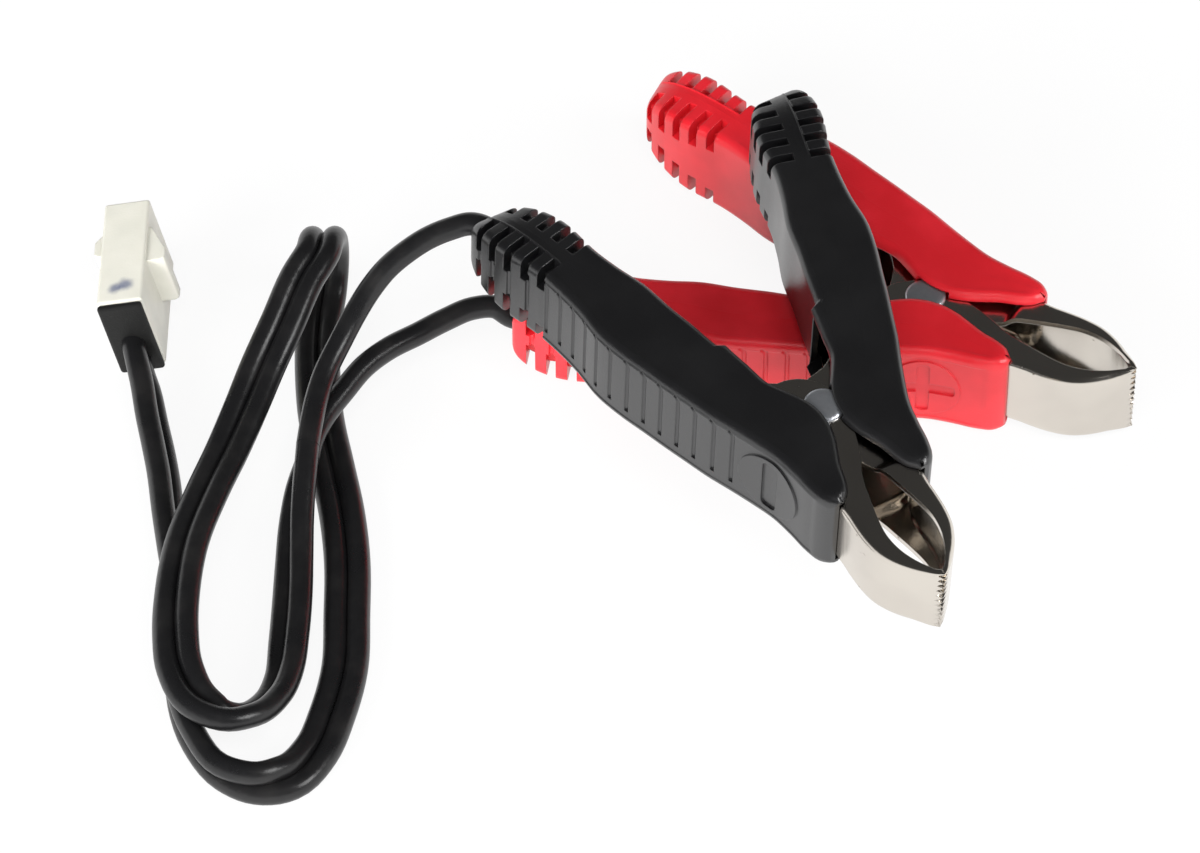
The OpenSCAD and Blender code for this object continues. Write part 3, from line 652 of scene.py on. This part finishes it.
def bar_outline(half_length, half_width, r, along):
    """A bar with rounded ends; along is True where it runs along the handle."""
    made = []
    for q, (sx, sy) in enumerate(((1, 1), (-1, 1), (-1, -1), (1, -1))):
        for a in (0, 22.5, 45, 67.5, 90):
            t = radians(a + 90 * q)
            made.append((sx * (half_length - r) + r * cos(t), sy * (half_width - r) + r * sin(t)))
        a, b = made[-1]
        far = (-a, b) if q % 2 == 0 else (a, -b)
        made += [tuple(u + (v - u) * k / 6 for u, v in zip((a, b), far)) for k in range(1, 6)]
    return made if along else [(-b, a) for a, b in made]


def gathered(name, pieces):
    """One object made of several, which are removed."""
    shape = bmesh.new()
    for piece in pieces:
        shape.from_mesh(piece.data)
        bpy.data.objects.remove(piece)
    made = bpy.data.meshes.new(name)
    shape.to_mesh(made)
    shape.free()
    body = bpy.data.objects.new(name, made)
    bpy.context.collection.objects.link(body)
    return body


rib_pitch, slot_half, slot_depth, rear_slot, hole_r = 3.42, 0.78, 2.2, 2.3, 2
groove_pitch, groove_r, rear_groove = 3.3, 0.42, 55.7
pad_r, pad_lift, sign_floor = 6.2, 0.26, -0.1


def sleeve(colour):
    """One handle sleeve, drawn for the arm with the cable."""
    stations = [-17.8, -17.7, -17.5, -17.2, -16.8, -16.3, -15.7, -15.1, -14.6]
    stations += spread(-14.1, 16.6, 0.9) + [16.6, 17, 17.4, 17.6, 17.9, 18.2, 18.6]
    stations += spread(19.4, 42.2, 0.9) + [42.2, 42.7] + spread(43.3, 57.4, 0.7)
    stations += [57.4, 57.9, 58.4, 58.8, 59.1, 59.35, 59.5, 59.6]
    body = tube("sleeve", [sleeve_ring(x) for x in stations])
    channel = [(x, y + slip) for x, y in steel_line if pivot_x - 26 < x < pivot_x + notch]
    channel = ([(channel[0][0], -8)] + channel
               + [(pivot_x + notch, channel[-1][1] + 0.02), (pivot_x + notch, -8)])
    cavity = tube("cavity", [sleeve_ring(x, wall) for x in
                             [notch - 0.02] + spread(18.2, 41.1, 1) + [41.1]])
    seat = prism("seat", arc(seat_r, range(0, 360, 6), pivot_x), -seat_half, seat_half)
    carve(body, prism("channel", channel, -steel_half - slip, steel_half + slip), cavity, seat)

    rear = (Matrix.Translation((handle_end, leg_y(handle_end), 0))
            @ Matrix.Rotation(leg_angle, 4, "Z"))
    # Slots in four rows: each is cut into a broad side and round the edge, down to a ledge
    # on the outer or inner face.
    slots = []
    for k in range(5):
        back = rear_slot + rib_pitch * k
        floor = half_z(reach - back) - slot_depth
        side = (outer_y(reach - back) - inner_y(reach - back)) / 2 - 2.1
        for sy in (1, -1):
            for sz, ledge in ((1, 1.8 + 0.7 * k), (-1, 0.5 + 1.05 * k)):
                slot_outline = [(1.3, floor), (1.3, 12), (12, 12), (12, ledge), (side, ledge),
                                (side, floor)]
                slot = prism("slot", slot_outline, -slot_half - back, slot_half - back)
                slot.data.transform(rear @ Matrix.Diagonal((1, sy, sz, 1)) @ Matrix(
                    ((0, 0, 1, 0), (1, 0, 0, 0), (0, 1, 0, 0), (0, 0, 0, 1))))
                if sy * sz < 0:
                    slot.data.flip_normals()
                slots.append(slot)
    hole = tube("hole", round_rings([rear @ Vector((x, 0, 0)) for x in (-20.5, 2)], hole_r, 32))
    carve(body, gathered("slots", slots), hole)

    # Grooves across the outer face: straight on the strain relief, and from there on with
    # a short curl at the top.
    grooves = []
    for k in range(17):
        at = rear_groove - (rib_pitch * k if k < 4 else 1 + groove_pitch * k)
        far = next(f for f, x in face_at if x >= at) - sign_at
        line = [(0, -5.3), (0, -2), (0, 2), (0, 6.0)]
        if k > 3:
            line += [(1.1 - 1.1 * cos(radians(a)), 6 + 1.1 * sin(radians(a)))
                     for a in (20, 40, 60, 80)]
        path = [on_face(far + a, b, 0.08) for a, b in line]
        grooves.append(tube("groove", round_rings(path, groove_r, 12)))
    disc = pad("disc", arc(pad_r, range(0, 360, 5)), -0.6, pad_lift)
    carve(body, gathered("grooves", grooves))
    carve(body, disc, how="UNION")
    if colour == "red":
        signs = [pad("bar", bar_outline(5.3, 1.05, 0.6, lengthwise), sign_floor, 0.8)
                 for lengthwise in (True, False)]
    else:
        signs = [pad("bar", bar_outline(5.3, 1.5, 0.9, False), sign_floor, 0.8)]
    return carve(body, *signs)


vinyl = {}
for colour, deep, plain, ior in (
        ("red", (0.62, 0.014, 0.022), (0.74, 0.022, 0.034), 1.6),
        ("black", (0.005, 0.005, 0.0055), (0.007, 0.007, 0.0075), 1.85)):
    skin, shader, end = finish_of(f"{colour}_vinyl", plain, 0.32, ior=ior)
    patches = grain(end, 90, 3)
    patches.step(0.35, 0.7).mixed((*deep, 1), (*plain, 1)).join(shader, "Base Color")
    (patches * 0.12 + 0.25).join(shader, "Roughness")
    relief(end, shader, grain(end, 3200, 2), 0.00003, 0.0003)
    vinyl[colour] = skin

mirror = Matrix.Diagonal((1, -1, 1, 1))


def arms():
    """The colour, kind, place and body of each arm; the free one is the other's mirror."""
    for colour, (at, turn) in clamps.items():
        yield colour, "cable", stand(at, turn), "base"
        yield colour, "free", stand(at, turn) @ mirror, f"{colour}_free_arm"


for colour, arm, place, body in arms():
    piece = sleeve(colour)
    piece.name = f"{colour}_{arm}_handle"
    settle(piece, place, vinyl[colour], body, [f"{colour}_{arm}_sleeve"], 30)


# Steel arms, stamped from 1 mm sheet and nickel plated: a U channel that runs from the
# toothed jaw past the pivot ears into the handle. The free arm is joggled inwards at the
# pivot, so that its ears run between the other's.
mouth = [(1.4, 0.9), (4, 2.54), (7, 3.69), (10.5, 4.1), (14, 3.6), (17.5, 2.8), (20.5, 2.05),
         (22.9, 1.15), (24.9, 0.05)]
rear_web = [(7.3, 4.2), (8.4, 6.1), (9.8, 7.8)]
ears = {"cable": arc(4, range(210, 326, 8), pivot_x)
        + arc(6.8, range(298, 353, 6), pivot_x + 0.5, 4),
        "free": arc(6.2, range(200, 358, 6), pivot_x)}
tip_x, lip_x = -0.3, 1.4
gauge, joggle = 1, 1.1
tooth_pitch, tooth_depth = 14 / 11, 0.7
web_n, arc_n, plate_n = 44, 6, 7


def steel_drop(x, arm):
    """How far the side plates stand inwards of their usual place."""
    def rise(t):
        t = max(0.0, min(1.0, t))
        return t ** 2 * (3 - 2 * t)
    return joggle * (rise((x - 21.3) / 2) - rise((x - 45.2) / 2)) if arm == "free" else 0


def shared(line, n):
    """n + 1 points evenly along a line of points."""
    runs = [0.0]
    for a, b in zip(line, line[1:]):
        runs.append(runs[-1] + math.dist(a, b))
    made, i = [], 0
    for k in range(n + 1):
        want = runs[-1] * k / n
        while i < len(line) - 2 and runs[i + 1] < want:
            i += 1
        t = (want - runs[i]) / max(runs[i + 1] - runs[i], 1e-9)
        made.append(tuple(p + (q - p) * min(t, 1) for p, q in zip(line[i], line[i + 1])))
    return made


def between(line, start, stop):
    """The stretch of a line of points from one x to another, ends included."""
    def at(x):
        for (x0, y0), (x1, y1) in zip(line, line[1:]):
            if x0 <= x <= x1:
                return (x, y0 + (y1 - y0) * (x - x0) / (x1 - x0))
        return line[-1]
    return [at(start)] + [p for p in line if start + 0.01 < p[0] < stop - 0.01] + [at(stop)]


def steel_arm(arm):
    """One steel arm, drawn for the side of the cable arm."""
    ear = ears[arm]
    hidden = inner_y(18.2) + 1.5
    stretches = [   # from x, to x, the free edge of the side plates there, and its steps
        (tip_x, lip_x, [(0.75, 0.05), mouth[0]], 6),
        (lip_x, 24.9, flowing(mouth, 5), 44),
        (24.9, 31.2, [mouth[-1], (27.3, -0.9), (30.4, -1.95), ear[0]], 10),
        (31.2, 41.5, ear + [(pivot_x + rear_web[0][0], rear_web[0][1])], 34),
        (41.5, 54.6, [(pivot_x + x, y) for x, y in rear_web] + [(54.6, hidden)], 16),
        (54.6, 67.0, [(54.6, hidden), (67.0, inner_y(30.6) + 1.5)], 10)]
    web_line, edge_line = [], []
    for start, stop, edge, n in stretches:
        web = shared(between(steel_line, start, stop), n)
        rim = shared(edge, n)
        web_line += web[:-1]
        edge_line += rim[:-1]
    bow = 0.5 if arm == "free" else 0
    flat = [Vector((x, y - bow * sin(math.pi * x / jaw_end) * (0 < x < jaw_end), 0))
            for x, y in web_line + web[-1:]]
    inward = [Vector((way.y, -way.x, 0)) for way in ways(flat)]
    outer, inner = [], []
    for i, (p, n, rim) in enumerate(zip(flat, inward, edge_line + rim[-1:])):
        r = 0.15 + 1.2 * min(1, i / 9)
        inner_r = max(r - gauge, 0.05)
        half = steel_half - steel_drop(p.x, arm)
        rim = Vector((*rim, 0))
        out_row, in_row = [], []
        roots = (p + n * r, p + n * (gauge + inner_r))
        for row, root, deep in zip((out_row, in_row), roots, (0, gauge)):
            for k in range(plate_n):
                q = rim.lerp(root, k / plate_n)
                row.append(Vector((q.x, q.y, steel_half - steel_drop(q.x, arm) - deep)))
        for k in range(arc_n + 1):
            a = radians(90 - 90 * k / arc_n)
            q = p + n * (r - r * cos(a))
            out_row.append(Vector((q.x, q.y, half - r + r * sin(a))))
            q = p + n * (gauge + inner_r - inner_r * cos(a))
            in_row.append(Vector((q.x, q.y, half - gauge - inner_r + inner_r * sin(a))))
        for k in range(1, web_n):
            f = 1 - 2 * k / web_n
            z = f * (half - r)
            phase = abs((z + steel_half) / tooth_pitch % 1 - 0.5) * 2
            bite = tooth_depth * (1 - phase)
            q = p.copy()
            if p.x < lip_x:
                lip = lip_x - tip_x
                want = tip_x + bite + (p.x - tip_x) / lip * (lip - bite)
                for a, b in zip(flat, flat[1:]):
                    if a.x <= want <= b.x:
                        q = a.lerp(b, (want - a.x) / max(b.x - a.x, 1e-9))
                        break
            out_row.append(Vector((q.x, q.y, z)))
            s = p + n * gauge
            in_row.append(Vector((s.x, s.y, f * (half - gauge - inner_r))))
        for row in (out_row, in_row):
            row += [Vector((q.x, q.y, -q.z)) for q in reversed(row[:plate_n + arc_n + 1])]
            if p.x < mouth[-1][0]:
                for q in row:
                    q.y = max(q.y, 0.05)
        outer.append(out_row)
        inner.append(in_row)
    cols, count = len(outer[0]), len(outer)
    points = [q for row in outer for q in row] + [q for row in inner for q in row]
    base = cols * count
    faces = []
    for i in range(count - 1):
        for k in range(cols - 1):
            quad = (i * cols + k, i * cols + k + 1, (i + 1) * cols + k + 1, (i + 1) * cols + k)
            faces += [quad, tuple(base + v for v in reversed(quad))]
        for k in (0, cols - 1):
            faces.append((i * cols + k, (i + 1) * cols + k, base + (i + 1) * cols + k,
                          base + i * cols + k))
    for i in (0, count - 1):
        for k in range(cols - 1):
            faces.append((i * cols + k, i * cols + k + 1, base + i * cols + k + 1,
                          base + i * cols + k))
    made = solid("steel_arm", points, faces)
    if arm == "free":
        return made
    tongue = [(x, y - 0.7) for x, y in between(steel_line, 65.5, 67.0)]
    slope = (steel_line[-1][1] - steel_line[-2][1]) / (steel_line[-1][0] - steel_line[-2][0])
    tongue.append((75.0, tongue[-1][1] + 8 * slope))
    outline = tongue + [(x, y - gauge) for x, y in reversed(tongue)]
    return gathered("steel_arm", [made, prism("tongue", outline, -2.5, 2.5)])


nickel, shader, end = finish_of("nickel_plate", (0.72, 0.67, 0.6), 0.16, 1.0)
cloudy = grain(end, 60, 3)
pits = grain(end, 700, 3).step(0.72, 0.78)
tone = cloudy.step(0.35, 0.75).mixed((0.76, 0.71, 0.64, 1), (0.68, 0.63, 0.57, 1))
(pits * 0.7).mixed(tone, (0.16, 0.13, 0.1, 1)).join(shader, "Base Color")
(cloudy * 0.14 + 0.12 + pits * 0.3).join(shader, "Roughness")
rolled = grain(end, 1400, 2, 0.5, (1, 1, 0.05))
relief(end, shader, rolled + grain(end, 120, 2) * 2, 0.000012, 0.00018)
for colour, arm, place, body in arms():
    piece = steel_arm(arm)
    piece.name = f"{colour}_{arm}_steel"
    settle(piece, place, nickel, body, [f"{colour}_{arm}_jaw"], 38)


# Ends of the two cores inside the handles: the insulation stops in front of the strain
# relief, and the tinned strands run on into the crimp on the steel tongue.
back = Vector((handle_end, leg_y(handle_end), 0))
leg = Vector((cos(leg_angle), sin(leg_angle), 0))
cut_off, strand_r = 18.1, 0.8
insulated = [back, back - leg * 9, back - leg * cut_off]
bare = [back - leg * 17.5, back - leg * 19.5] + [
    Vector((x, web_y(x) - 2.55, 0)) for x in (74.2, 72.2, 70.4)]
for colour, (at, turn) in clamps.items():
    place = stand(at, turn)
    piece = tube(f"{colour}_core_in_handle", round_rings(insulated, core_r, 24, -leg, -leg))
    settle(piece, place, pvc, "base", [f"{colour}_core_end"], 60)
    piece = tube(f"{colour}_bare_strands", round_rings(bare, strand_r, 16))
    settle(piece, place, tinned, "base", (), 60)


# Pivot rivets of zinc plated steel, a low domed head on each side, closed over the ears.
def lathed(name, profile, steps):
    """A round piece from its profile of radius and height."""
    rings = [[Vector((r * cos(math.tau * k / steps), r * sin(math.tau * k / steps), z))
              for k in range(steps)] for r, z in profile]
    return tube(name, rings)


zinc, shader, end = finish_of("zinc_rivet", (0.6, 0.63, 0.68), 0.3, 0.92)
frosted = grain(end, 1200, 3)
frosted.mixed((0.76, 0.78, 0.82, 1), (0.58, 0.61, 0.66, 1)).join(shader, "Base Color")
(frosted * 0.2 + 0.24).join(shader, "Roughness")
relief(end, shader, grain(end, 2400, 2), 0.00002)
head = [(0.01, 7.8), (1.2, 7.79), (2.1, 7.74), (2.7, 7.64), (3.05, 7.5), (3.25, 7.3), (3.3, 7.1),
        (3.3, 7.0), (2.0, 7.0)]
profile = head + [(r, -z) for r, z in reversed(head)]
for colour, (at, turn) in clamps.items():
    piece = lathed(f"{colour}_rivet", profile, 64)
    settle(piece, stand(at, turn) @ Matrix.Translation((pivot_x, 0, 0)), zinc,
           "base", [f"{colour}_pivot_rivet"], 50)


# Torsion springs of 1.6 mm wire round the rivets: their legs press on the two webs and keep the
# jaws shut.
spring_r, wire_r, leg_len, coil_pitch = 3.9, 0.8, 22.0, 2.1
open_at = 20.0   # angle of a leg, which opens until the wire rests on the steel
while (spring_r * cos(radians(open_at)) + leg_len * sin(radians(open_at))
       <= web_y(pivot_x + leg_len * cos(radians(open_at)) - spring_r * sin(radians(open_at)))
       - gauge - wire_r - slip):
    open_at += 0.25
first, final = 90 + open_at, 1440 - 90 - open_at
coil_height = coil_pitch * (final - first) / 360
coil, coil_steps = [], 80
for k in range(coil_steps + 1):
    a = radians(first + (final - first) * k / coil_steps)
    coil.append(Vector((pivot_x + spring_r * cos(a), spring_r * sin(a),
                        coil_height * (k / coil_steps - 0.5))))
leg = Vector((cos(radians(open_at)), sin(radians(open_at)), 0))
back_leg = Vector((leg.x, -leg.y, 0))
wire_path = ([coil[0] + leg * leg_len * f for f in (1, 0.7, 0.4, 0.15, 0.03)] + coil
             + [coil[-1] + back_leg * leg_len * f for f in (0.03, 0.15, 0.4, 0.7, 1)])
spring_steel, shader, end = finish_of("spring_wire", (0.45, 0.45, 0.46), 0.28, 1.0)
drawn = grain(end, 1500, 2)
drawn.mixed((0.5, 0.5, 0.5, 1), (0.36, 0.35, 0.35, 1)).join(shader, "Base Color")
(drawn * 0.2 + 0.2).join(shader, "Roughness")
relief(end, shader, drawn, 0.00002)
for colour, (at, turn) in clamps.items():
    place = stand(at, turn)
    piece = tube(f"{colour}_torsion_spring", round_rings(wire_path, wire_r, 14))
    settle(piece, place, spring_steel, None, [f"{colour}_spring"], 50)
    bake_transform(piece)
